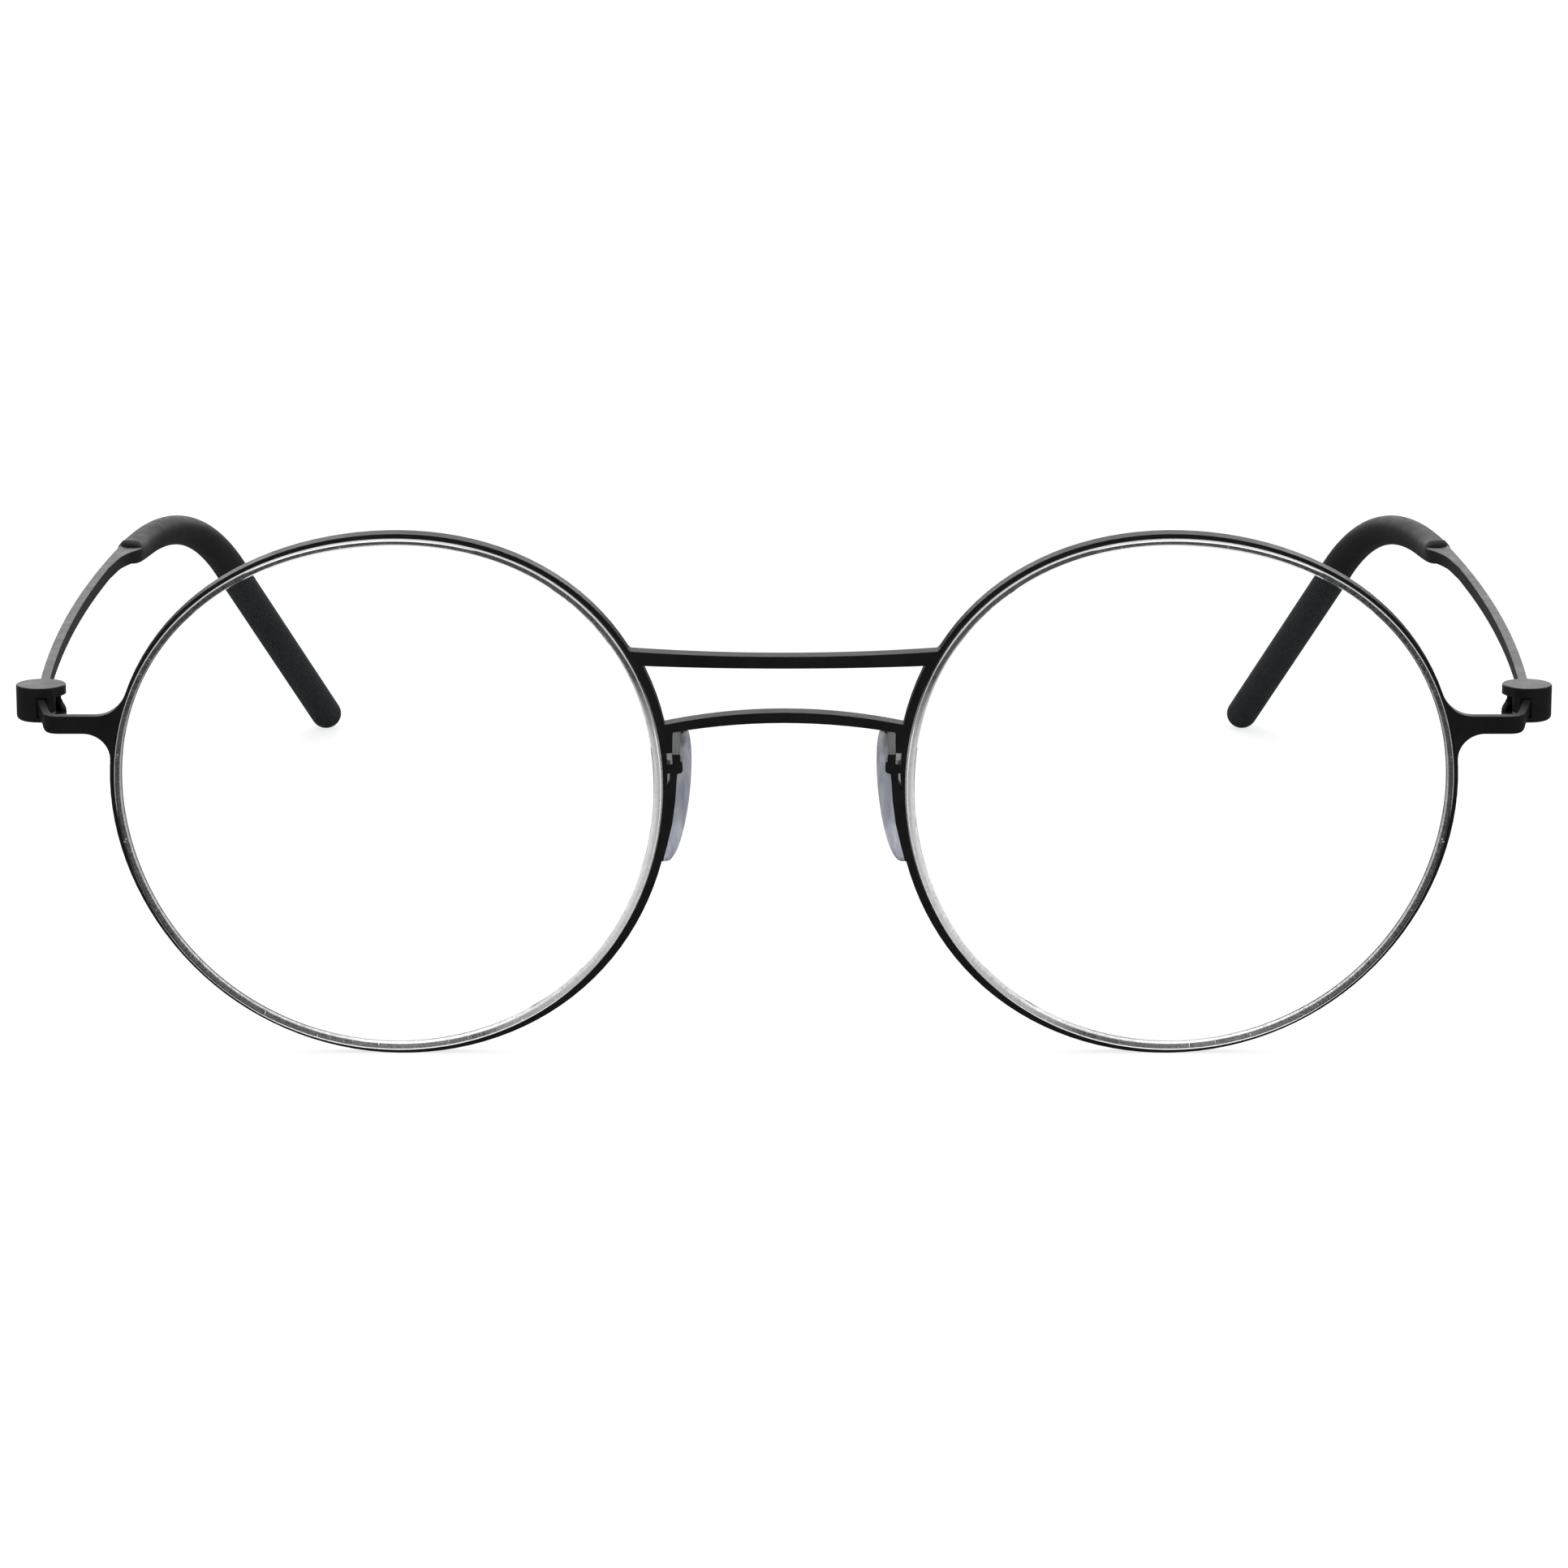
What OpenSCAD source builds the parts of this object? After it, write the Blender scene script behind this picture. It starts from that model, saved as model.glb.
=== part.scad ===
// Round metal eyeglasses with two bridges, drum hinges and rubber ear tips.
// Front looks towards -Y, the temples run back along +Y, and +Z is up.
// The pair stands open on its two rims and its two ear tips, at Z = 0.

/* [Eye shape] */
// Mean radius of the lens opening in a rim
eye_r = 25.07; // [22:0.01:27]
// How far the outline swells in three directions, which flattens the brow
eye_panto = 0.35; // [0:0.05:0.8]
// How far the outline swells on its four diagonals
eye_square = 0.15; // [0:0.05:0.4]
// Distance from the middle of the bridge to the middle of an eye
eye_x = 35.8; // [34.5:0.1:38]
// Height of the eye centres below the reference line of the front
eye_drop = 1; // [0:0.1:2]
// Backward tilt of the lower edge of the front
tilt = 7.8; // [4:0.2:11]

/* [Rims] */
// Width of the rim seen from the front, at the brow and the temple side
rim_w = 0.38; // [0.34:0.02:0.6]
// Extra width of the rim at the nose side
rim_swell = 0.4; // [0:0.05:0.6]
// Extra width of the rim at the temple side, below the end piece
side_swell = 0.17; // [0:0.01:0.3]
// Depth of the rim from front to back
rim_t = 1.2; // [1:0.05:1.6]
// Depth of the groove that holds the lens
groove_d = 0.18; // [0.14:0.01:0.22]

/* [Bridges] */
// Height of the upper bridge bar above the reference line
brow_z = 12.3; // [11:0.1:13]
// Height of the upper bar's front face at its middle
brow_h = 1.13; // [0.9:0.05:1.5]
// How far the upper bar's middle hangs below its ends
brow_sag = 0.5; // [0:0.05:1]
// Height of the lower bridge bar above the reference line
nose_z = 6.92; // [6:0.1:7.6]
// Height of the lower bar's front face at its middle
nose_h = 1; // [0.8:0.05:1.3]
// How far the lower bar arches above its ends
nose_rise = 1.15; // [0.5:0.05:1.6]

/* [Rim locks] */
// Width of the lower rim end where it stands beside the lens
lock_w = 1.2; // [1:0.05:1.4]
// Height of the hook on the lower rim end above the reference line
hook_z = 2.85; // [2.4:0.05:3.2]
// Gap between the hook and the tooth that it holds
lock_gap = 0.03; // [0.02:0.01:0.06]

/* [Lenses] */
// Thickness of the lens at its edge
lens_t = 2.2; // [1.9:0.1:2.6]
// How far the lens edge stands in front of the rim
lens_proud = 0.6; // [0.4:0.05:0.8]
// Radius of the lens's front curve
lens_curve = 130; // [90:5:300]
// Inward step of the ground edge at the front face
bevel_front = 0.12; // [0.08:0.01:0.3]
// Inward step of the ground edge at the back face
bevel_back = 0.8; // [0.6:0.05:1]

/* [End pieces] */
// Height of the end piece's centre above the reference line
end_z = 5.71; // [5.2:0.01:6.2]
// Height of the end piece
end_h = 1.68; // [1.5:0.02:1.8]
// Thickness of the end piece and of its rolled eye
end_t = 0.65; // [0.55:0.01:0.7]
// Fillet above the end piece
end_fillet_top = 3; // [2:0.1:4]
// Fillet below the end piece
end_fillet_bottom = 2.4; // [1.5:0.1:3.4]
// Outward lean of the leaf that runs back to the hinge
leaf_lean = 15; // [8:1:20]
// Height of the leaf behind its bend
leaf_h = 1.3; // [1.1:0.02:1.4]
// Distance of the leaf's line from the hinge axis
leaf_side = 0.35; // [0:0.05:0.9]

/* [Hinges] */
// Distance from the middle to each hinge axis
hinge_x = 68.25; // [66.5:0.05:70]
// Distance of the hinge axis behind the reference line
hinge_y = 5.8; // [5.6:0.1:7]
// Diameter of the hinge drum
drum_d = 4.56; // [4.4:0.02:5.2]
// Height of the hinge drum
drum_h = 3.25; // [3.1:0.05:3.6]
// Height of the drum's middle above the end piece's line
drum_lift = -0.08; // [-0.2:0.01:0.2]
// Thickness of the drum's side wall
drum_wall = 0.42; // [0.3:0.02:0.5]
// Thickness of the drum's roof
drum_roof = 0.6; // [0.5:0.05:0.7]
// Thickness of the plate that closes the drum from below
base_t = 0.5; // [0.4:0.05:0.6]
// Diameter of the hinge pin
pin_d = 0.8; // [0.7:0.02:0.86]
// Running clearance of the pin in its bush, on the radius
pin_clear = 0.02; // [0.01:0.01:0.04]
// Wall of the bush in the eye
bush_wall = 0.22; // [0.18:0.01:0.26]
// Thickness of a friction washer
washer_t = 0.15; // [0.1:0.01:0.2]
// Clearance between stacked hinge pieces
stack_clear = 0.02; // [0.01:0.01:0.03]

/* [Temples] */
// Thickness of the temple strip
strip_t = 0.85; // [0.75:0.05:1.1]
// Height of the temple strip
strip_h = 1.25; // [1.1:0.05:1.6]
// Length of bare strip behind the hinge axis
strip_len = 68.5; // [60:0.5:76]
// How far the strip bows outwards
strip_bow = 1.25; // [0:0.05:2.5]
// How far the strip's far end stands inside its near end
strip_toe = 0.2; // [0:0.05:1]

/* [Ear tips] */
// Width of the rubber sleeve
sleeve_w = 3.4; // [3:0.05:4.2]
// Height of the rubber sleeve
sleeve_h = 3.3; // [2.8:0.1:4]
// Length of the swelling behind the sleeve's mouth
mouth_len = 4; // [3:0.5:8]
// How far the sleeve hangs below the wire behind its mouth
sleeve_hang = 0.85; // [0:0.05:1]
// Part of its width that the sleeve loses towards the mouth
sleeve_taper = 0.15; // [0:0.01:0.2]
// Distance along the temple that the bend over the ear takes up
bend_run = 25.9; // [22:0.1:30]
// How far the bend turns inwards
bend_in = 8.1; // [6:0.05:11]
// How far the bend drops
bend_drop = 7.07; // [5:0.01:9]
// Length of the straight end beyond the bend
tip_len = 32.6; // [24:0.1:40]
// Downward slope of the straight end
tip_slope = 42.2; // [32:0.1:50]
// Inward turn of the straight end
tip_turn = 21.4; // [12:0.1:26]
// Length of sleeve beyond the end of the wire core
core_short = 8; // [5:0.5:14]

/* [Nose pads] */
// Length of a nose pad
pad_len = 13; // [11:0.1:14]
// Width of a nose pad from front to back
pad_w = 6.1; // [5.6:0.1:7.4]
// Thickness of a nose pad
pad_t = 2.4; // [2.2:0.1:2.8]
// How far the pad's leaf stands inside the arm's middle
pad_inset = 0.38; // [0.2:0.02:0.5]
// Distance of a pad's centre behind the reference line
pad_y = 6.6; // [6.2:0.1:7.4]
// Height of a pad's centre, below the reference line
pad_drop = 2.4; // [1.6:0.1:2.8]
// Angle by which the pads open towards the face
pad_splay = 22; // [16:1:34]
// Angle by which the pads open downwards
pad_flare = 8; // [4:0.5:12]
// Height of the arm's strip
arm_h = 0.42; // [0.35:0.01:0.5]
// Width of the leaf that the pad is pushed on to
leaf_w = 1.8; // [1.4:0.1:2.2]
// Length of that leaf
leaf_len = 7; // [5:0.1:8]
// Wall of the hard insert round the leaf
insert_wall = 0.28; // [0.22:0.01:0.34]
// Clearance of the leaf in its insert, and of the insert in the pad
pad_clear = 0.02; // [0.01:0.01:0.05]

/* [Hidden] */

$fn = 48;
steps = 120;
lens_steps = 90;
sleeve_sides = 16;
eps = 0.01;
// Directions in which the outline's three swells and four diagonals lie
panto_turn = 39.5;
square_turn = 50;
metal = [0.11, 0.11, 0.115];
rubber = [0.15, 0.155, 0.16];
clear_glass = [0.86, 0.9, 0.92, 0.4];
clear_rubber = [0.66, 0.7, 0.77, 0.6];
clear_nylon = [0.85, 0.85, 0.82, 0.8];
steel = [0.6, 0.6, 0.62];

// Outline of an eye, as a radius at an angle from the nose side, counted up over the brow
function eye_radius(a) = eye_r + eye_panto * cos(3 * (a - panto_turn))
    + eye_square * cos(4 * (a - square_turn));
// The rim is wide beside the nose, narrow past the upper bridge and a little wider again below the end piece
brow_joint = asin((brow_z - brow_h / 2 + eye_drop) / (eye_r + rim_w));
end_joint = 180 - asin((end_z + eye_drop) / (eye_r + rim_w));
function rim_width(a) = rim_w + (a < brow_joint ? rim_swell * pow((1 + cos(a)) / 2, 2) : 0)
    + (a < 0 || a > end_joint ? side_swell * pow((1 - cos(a)) / 2, 12) : 0);
function eye_points(grow, count) = [for (i = [0 : count - 1])
    let (a = 360 * i / count - 180) (eye_radius(a) + grow) * [cos(a), sin(a)]];
function rim_points() = [for (i = [0 : steps - 1])
    let (a = 360 * i / steps - 180) (eye_radius(a) + rim_width(a)) * [cos(a), sin(a)]];
// Point of the front at a height, a distance outside the lens opening on the nose side
function beside(out, v) = let (a = asin((v + eye_drop) / (eye_r + out)))
    [(eye_radius(a) + out) * cos(a) - eye_x, v];

// Lens edge, measured towards the viewer from the rim's front face
lens_back = lens_proud - lens_t;
groove_z = -rim_t / 2;
lens_apex = groove_d - 0.08;
lens_seat = 0.05;
ridge_half = rim_t * 0.22;
front_centre = lens_proud - sqrt(pow(lens_curve, 2) - pow(eye_r - bevel_front, 2));
back_curve = lens_curve - lens_t;
back_centre = lens_back - sqrt(pow(back_curve, 2) - pow(eye_r - bevel_back, 2));

// Hinge: the drum is centred on the end piece's height, at the depth of its axis
hinge_z = (end_z + hinge_y * sin(tilt)) / cos(tilt) + drum_lift;
drum_top = hinge_z + drum_h / 2;
drum_floor = hinge_z - drum_h / 2;
pocket_r = drum_d / 2 - drum_wall;
pocket_h = drum_h - drum_roof - base_t;
bush_r = pin_d / 2 + pin_clear + bush_wall;
bore_r = bush_r + eps;
roll_h = pocket_h - 2 * washer_t - 4 * stack_clear;
roll_floor = drum_floor + base_t + washer_t + 2 * stack_clear;
head_r = pin_d / 2 + 0.3;
head_t = base_t * 0.4;
pin_seat = drum_roof / 2;
// Plan of the leaf, as distances from the middle and behind the front's plane
lean_out = [-cos(leaf_lean), -sin(leaf_lean)];
lean_back = [-sin(leaf_lean), cos(leaf_lean)];
turn_in = 0.85;
turn_out = turn_in + end_t;
joined = 0.05;
turn_mean = turn_in + end_t / 2;
hinge_w = hinge_y * cos(tilt) + hinge_z * sin(tilt);
leaf_foot = [-hinge_x, hinge_w] + leaf_side * lean_out;
leaf_run = ((leaf_foot - turn_mean * lean_out)[1] - end_t - turn_in) / lean_back[1];
turn_centre = leaf_foot - turn_mean * lean_out - leaf_run * lean_back;
leaf_root = bore_r + end_t / 2;
leaf_reach = leaf_run - sqrt(pow(leaf_root, 2) - pow(leaf_side, 2));

// Temple strip and ear sleeve
strip_x = hinge_x - 0.3;
strip_start = hinge_y + drum_d / 4;
strip_end = hinge_y + strip_len;
strip_z = drum_top - strip_h / 2;
function strip_line(y) = let (h = (strip_end - hinge_y) / 2, q = (y - hinge_y - h) / h)
    -strip_x - strip_bow * (1 - q * q) + strip_toe * (1 + q) / 2;
mouth = [strip_toe - strip_x, strip_end, strip_z];
mouth_slope = (4 * strip_bow + strip_toe) / strip_len;
mouth_way = [mouth_slope, 1, 0] / norm([mouth_slope, 1, 0]);
bend_end = mouth + [bend_in, bend_run, -bend_drop];
tip_way = [cos(tip_slope) * sin(tip_turn), cos(tip_slope) * cos(tip_turn), -sin(tip_slope)];
grip_start = bend_run * 0.41;
grip_end = bend_run * 0.51;
function bend_point(t) = pow(1 - t, 3) * mouth
    + 3 * pow(1 - t, 2) * t * (mouth + grip_start * mouth_way)
    + 3 * (1 - t) * t * t * (bend_end - grip_end * tip_way)
    + pow(t, 3) * bend_end;
bend_steps = 16;
tip_dome = sleeve_h / 2;

// The pair stands on the lower edges of its rims and on its ear tips
rim_low = -eye_drop - eye_radius(-90) - rim_width(-90);
rim_foot = [-rim_low * sin(tilt), rim_low * cos(tilt)];
tip_centre = bend_end + (tip_len - tip_dome) * tip_way;
tip_foot = [tip_centre[1], tip_centre[2] - sleeve_h / 2];
stance = atan((tip_foot[1] - rim_foot[1]) / (tip_foot[0] - rim_foot[0]));
function leaned_y(p) = p[0] * cos(stance) + p[1] * sin(stance);
function leaned_z(p) = p[1] * cos(stance) - p[0] * sin(stance);
ground = leaned_z(rim_foot);
// Foremost point is the crown of the lenses, and the rearmost is the end of the ear tips
crown = [eye_drop * sin(tilt) - front_centre * cos(tilt), -eye_drop * cos(tilt) - front_centre * sin(tilt)];
foremost = leaned_y(crown) - lens_curve;
rearmost = leaned_y([tip_centre[1], tip_centre[2]]) + sleeve_h / 2;
middle = (foremost + rearmost) / 2;

// Closed skin through rings of points, one ring after another
module loft(rings) {
    n = len(rings[0]);
    m = len(rings);
    points = [for (ring = rings) for (p = ring) p];
    sides = [for (i = [0 : m - 2]) for (j = [0 : n - 1])
        let (k = (j + 1) % n)
            for (f = [[i * n + j, i * n + k, (i + 1) * n + k], [i * n + j, (i + 1) * n + k, (i + 1) * n + j]]) f];
    first = [for (j = [n - 1 : -1 : 0]) j];
    last = [for (j = [0 : n - 1]) (m - 1) * n + j];
    polyhedron(points, concat([first], sides, [last]), convexity = 6);
}

// Oval ring square to a path at a point
function across(p, way, w, h, sides) = let (
    side = cross(way, [0, 0, 1]) / norm(cross(way, [0, 0, 1])),
    up = cross(side, way))
    [for (j = [0 : sides - 1]) let (a = 360 * j / sides)
        p + side * w / 2 * cos(a) + up * h / 2 * sin(a)];

// Everything is drawn for the wearer's right side, at -X, and mirrored for the left
module stand() translate([0, -middle, -ground]) rotate([-stance, 0, 0]) children();
module on_side(left) stand() mirror([left ? 1 : 0, 0, 0]) children();
// Plane of the front: +X along it, +Y up it and +Z towards the viewer
module in_front() rotate([90 + tilt, 0, 0]) children();
module at_eye() in_front() translate([-eye_x, -eye_drop, 0]) children();
module at_hinge(z) translate([-hinge_x, hinge_y, z]) children();
module at_pad() translate([-pad_x, pad_y, -pad_drop])
    rotate([0, pad_flare, 0]) rotate([0, 0, pad_splay]) children();

// Lock of the rim, as distances outside the lens opening and above the hook's top
lock_tongue = [[-0.4, 2.75], [1.3, 2.75], [1.3, 1.9], [1.02, 0.15], [0.45, 0.13], [0.45, -0.93],
    [0.68, -0.99], [0.68, -1.79], [0.4, -1.87], [0.38, -2.75], [0.12, -3.6], [-0.4, -3.62]];
lock_hook = [[-0.4, -3.68], [0.14, -3.66], [0.22, -3.5], [0.33, -3.3], [0.62, -2.75], [0.62, -1.85],
    [0.68 + lock_gap, -1.8], [0.68 + lock_gap, -0.98], [0.95, -0.9], [0.98, 0], [1.68, 0],
    [1.68, -0.68], [1.83, -0.75], [1.83, -1.6], [1.68, -1.78], [lock_w + 0.12, -1.9],
    [lock_w + 0.05, -2.4], [lock_w - 0.05, -4.44], [lock_w - 0.15, -6.67], [lock_w - 0.3, -8.9],
    [lock_w - 0.36, -10.45], [-0.4, -10.45]];
lock_room = [[-0.6, -3.67], [2.4, -3.67], [2.4, 2.7], [-0.6, 2.7]];
function lock_points(list) = [for (p = list) beside(p[0], hook_z + p[1])];
arm_from = beside(0.98, hook_z)[0];
arm_to = beside(1.68, hook_z)[0];

// End piece beside the rim
strip_low = end_z - end_h / 2;
strip_high = end_z + end_h / 2;
top_v = strip_high + end_fillet_top + eye_drop;
top_turn = 180 - asin(top_v / (eye_r + rim_w + end_fillet_top));
top_r = eye_radius(top_turn) + rim_width(top_turn) + end_fillet_top;
top_centre = [-eye_x - sqrt(pow(top_r, 2) - pow(top_v, 2)), top_v - eye_drop];
bottom_v = strip_low - end_fillet_bottom + eye_drop;
bottom_turn = 180 - asin(bottom_v / (eye_r + rim_w + end_fillet_bottom));
bottom_r = eye_radius(bottom_turn) + rim_width(bottom_turn) + end_fillet_bottom;
bottom_centre = [-eye_x - sqrt(pow(bottom_r, 2) - pow(bottom_v, 2)), bottom_v - eye_drop];

module lens_opening() translate([-eye_x, -eye_drop]) polygon(eye_points(0, steps));

module rim_face() {
    difference() {
        translate([-eye_x, -eye_drop]) polygon(rim_points());
        polygon(lock_points(lock_room));
    }
    polygon(lock_points(lock_tongue));
    polygon(lock_points(lock_hook));
}

// Bar between the rims, with a parabola above and another below
module bar_face(top, bottom, top_rise, bottom_rise, half, reach) {
    upper = [for (i = [-8 : 8]) [reach * i / 8, top + top_rise * pow(reach * i / 8 / half, 2)]];
    lower = [for (i = [8 : -1 : -8]) [reach * i / 8, bottom + bottom_rise * pow(reach * i / 8 / half, 2)]];
    polygon(concat(upper, lower));
}

module bridge_faces() {
    brow_half = eye_x - (eye_r + rim_w) * cos(brow_joint);
    nose_half = eye_x - eye_r;
    bar_face(brow_z, brow_z - brow_h, brow_sag, brow_sag * 0.6, brow_half, brow_half + 1.5);
    bar_face(nose_z, nose_z - nose_h, -nose_rise, -nose_rise * 0.9, nose_half, nose_half + 1);
}

// Inner corner of the lower bar and the upper rim end, filled round
module lock_fillet() {
    corner = beside(1.2, hook_z + 1.9);
    size = 0.62;
    polygon(concat([corner, corner + [0, size]],
        [for (a = [90 : 22.5 : 180]) corner + [size + size * cos(a) + 0.1, size * sin(a)]]));
}

module end_face() {
    difference() {
        polygon([[top_centre[0], strip_high], top_centre, [-eye_x, -eye_drop],
            bottom_centre, [bottom_centre[0], strip_low]]);
        translate(top_centre) circle(end_fillet_top);
        translate(bottom_centre) circle(end_fillet_bottom);
    }
}

// Strip that runs outwards, turns back and leans on to the rolled eye, in plan
module leaf_plan() {
    translate([turn_centre[0], 0]) square([top_centre[0] + 0.4 - turn_centre[0], end_t]);
    intersection() {
        translate(turn_centre) difference() {
            circle(turn_out);
            circle(turn_in);
        }
        polygon([turn_centre + [joined, 0], turn_centre + [joined, -2 * turn_out],
            turn_centre - [2 * turn_out, 2 * turn_out], turn_centre + 2 * turn_out * lean_out]);
    }
    turned = turn_centre + turn_mean * lean_out;
    reached = turned + leaf_reach * lean_back;
    half = lean_out * end_t / 2;
    begun = turned - joined * lean_back;
    polygon([begun - half, begun + half, reached + half, reached - half]);
}

// Side profile that narrows the strip from below as it bends back
module leaf_profile() {
    cut = end_h - leaf_h;
    narrowing = [for (q = [0 : 0.125 : 1])
        [0.2 + 1.4 * q, strip_low + cut * (1 - cos(180 * q)) / 2]];
    polygon(concat([[-0.1, strip_high], [-0.1, strip_low]], narrowing,
        [[hinge_w + 2, strip_low + cut], [hinge_w + 2, strip_high]]));
}

module end_leaf() {
    intersection() {
        translate([0, strip_low, 0]) rotate([-90, 0, 0]) linear_extrude(end_h) leaf_plan();
        translate([-hinge_x - drum_d, 0, 0]) rotate([0, 90, 0])
            linear_extrude(hinge_x + drum_d + top_centre[0] + 1) leaf_profile();
    }
}

// Eye rolled from the strip, round the bush, with the short arm that runs into it
module rolled_eye() {
    foot = leaf_side * lean_out;
    arm = foot - (sqrt(pow(pocket_r, 2) - pow(leaf_side + end_t / 2, 2)) - slot_clear) * lean_back;
    half = lean_out * end_t / 2;
    at_hinge(roll_floor) difference() {
        union() {
            cylinder(h = roll_h, r = bore_r + end_t);
            linear_extrude(roll_h) polygon([foot - half, foot + half, arm + half, arm - half]);
        }
        translate([0, 0, -1]) cylinder(h = roll_h + 2, r = bore_r);
    }
}

// Arm from the lock back to the pad, and the leaf inside the pad, grown all round for its slot
arm_len = (pad_y + hook_z * sin(tilt)) / cos(tilt) + 0.05;
leaf_top = (hook_z * cos(tilt) + arm_len * sin(tilt) + pad_drop) / cos(pad_flare);
pad_x = leaf_top * sin(pad_flare) - (arm_from + arm_to) / 2 - pad_inset;
arm_foot = leaf_w * 0.6;
module pad_arm(grow) {
    in_front() translate([arm_to - 0.1, hook_z - arm_h - grow, -arm_len - grow])
        cube([pad_inset, arm_h + 2 * grow, arm_foot + 2 * grow]);
    in_front() translate([arm_from - grow, hook_z - arm_h - grow, -arm_len - grow])
        cube([arm_to - arm_from + 2 * grow, arm_h + 2 * grow, arm_len - rim_t / 2 + grow]);
    at_pad() translate([-arm_h / 2 - grow, -leaf_w / 2 - grow, leaf_top - leaf_len - grow])
        cube([arm_h + 2 * grow, leaf_w + 2 * grow, leaf_len + 2 * grow]);
}

module half_front() {
    in_front() {
        translate([0, 0, -end_t]) linear_extrude(end_t) difference() {
            end_face();
            lens_opening();
        }
        end_leaf();
        translate([0, 0, -rim_t]) linear_extrude(rim_t) difference() {
            union() {
                rim_face();
                lock_fillet();
            }
            lens_opening();
        }
    }
    rolled_eye();
    pad_arm(0);
}

// Groove round the lens opening
module groove() {
    half = rim_t * 0.28;
    loft([for (r = [[groove_z + half, -0.02], [groove_z, groove_d], [groove_z - half, -0.02]])
        [for (p = eye_points(r[1], lens_steps)) [p[0], p[1], r[0]]]]);
}

module front_frame() {
    color(metal) stand() difference() {
        union() {
            half_front();
            mirror([1, 0, 0]) half_front();
            in_front() translate([0, 0, -rim_t]) linear_extrude(rim_t) difference() {
                bridge_faces();
                lens_opening();
                mirror([1, 0]) lens_opening();
            }
        }
        at_eye() groove();
        mirror([1, 0, 0]) at_eye() groove();
    }
}

// Lens: a ground edge with a ridge that seats in the groove, between two spherical faces
module lens_blank() {
    edge = [[lens_proud + 4, -bevel_front], [lens_proud, -bevel_front], [groove_z + ridge_half, -lens_seat],
        [groove_z, lens_apex], [groove_z - ridge_half, -lens_seat],
        [lens_back, -bevel_back], [lens_back - 1, -bevel_back]];
    loft([for (r = edge) [for (p = eye_points(r[1], lens_steps)) [p[0], p[1], r[0]]]]);
}

module lens(left) {
    color(clear_glass) on_side(left) at_eye() difference() {
        intersection() {
            lens_blank();
            translate([0, 0, front_centre]) sphere(lens_curve, $fn = 240);
        }
        translate([0, 0, back_centre]) sphere(back_curve, $fn = 240);
    }
}

// Nose pad: crowned towards the nose, flatter behind, pushed over its insert and leaf
function pad_ring(s) = let (
    reach = sqrt(1 - s * s),
    half_w = pad_w / 2 * reach * (1 - 0.1 * s),
    half_t = pad_t / 2 * pow(1 - s * s, s > 0 ? 0.5 : 0.3))
    [for (j = [0 : 19]) let (a = 18 * j, x = cos(a))
        [half_t * x * (x > 0 ? 1 : 0.85), half_w * sin(a), pad_len / 2 * s]];

module insert_plate(grow) {
    wall = arm_h / 2 + pad_clear + insert_wall;
    low = leaf_top - leaf_len - 0.7;
    high = pad_len * 0.36;
    half = leaf_w / 2 + insert_wall + 0.3;
    translate([-wall - grow, -half - grow, low - grow])
        cube([2 * (wall + grow), 2 * (half + grow), high - low + 2 * grow]);
    translate([-wall - grow, 0, low - grow]) rotate([0, 90, 0])
        cylinder(h = 2 * (wall + grow), r = half + grow);
}

module nose_pad(left) {
    color(clear_rubber) on_side(left) difference() {
        at_pad() difference() {
            loft([for (i = [0 : 12]) pad_ring(cos(8 + 164 * i / 12))]);
            insert_plate(pad_clear);
        }
        pad_arm(pad_clear);
    }
}

module pad_insert(left) {
    color(clear_nylon) on_side(left) difference() {
        at_pad() insert_plate(0);
        pad_arm(pad_clear);
    }
}

module hinge_bush(left) {
    color(clear_nylon) on_side(left) at_hinge(roll_floor) difference() {
        cylinder(h = roll_h, r = bush_r);
        translate([0, 0, -1]) cylinder(h = roll_h + 2, r = pin_d / 2 + pin_clear);
    }
}

// Drum: roof and side wall, with a slot from beside the leaf round to the inner side, below a lip
slot_clear = 0.08;
slot_lip = 0.28;
// Leaning far edge of the slot, as distances behind the pin and above the drum's open end
slot_edge = [[0.32, -1], [0.32, 0.05], [0.6, 0.32], [1.35, 0.7], [1.6, 1.05]];
module drum_slot() {
    reach = drum_d;
    high = pocket_h - slot_lip;
    near = (leaf_side + end_t / 2 + slot_clear) * lean_out;
    translate([0, 0, -1]) linear_extrude(1 + high) polygon(concat([[0, 0], near, near - reach * lean_back],
        [for (a = [-60 : 30 : 0]) reach * [cos(a), sin(a)]]));
    rotate([90, 0, 90]) translate([0, 0, drum_d / 8]) linear_extrude(drum_d)
        polygon(concat([[-1, -1]], slot_edge, [[slot_edge[4][0], high], [-1, high]]));
}

module drum_shell() {
    r = drum_d / 2;
    edge = 0.08;
    wall_h = drum_h - base_t;
    difference() {
        rotate_extrude() polygon([[0, 0], [r, 0], [r, wall_h - edge], [r - edge, wall_h], [0, wall_h]]);
        translate([0, 0, -1]) cylinder(h = 1 + pocket_h, r = pocket_r);
        translate([0, 0, -1]) cylinder(h = 1 + pocket_h + pin_seat, r = pin_d / 2 + eps);
        drum_slot();
    }
}

module strip_body() {
    count = 16;
    line = [for (i = [0 : count]) let (y = strip_start + (strip_end - 0.05 - strip_start) * i / count)
        [strip_line(y), y]];
    translate([0, 0, drum_top - strip_h]) linear_extrude(strip_h)
        polygon(concat([for (p = line) p + [strip_t / 2, 0]],
            [for (i = [count : -1 : 0]) line[i] - [strip_t / 2, 0]]));
}

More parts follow.
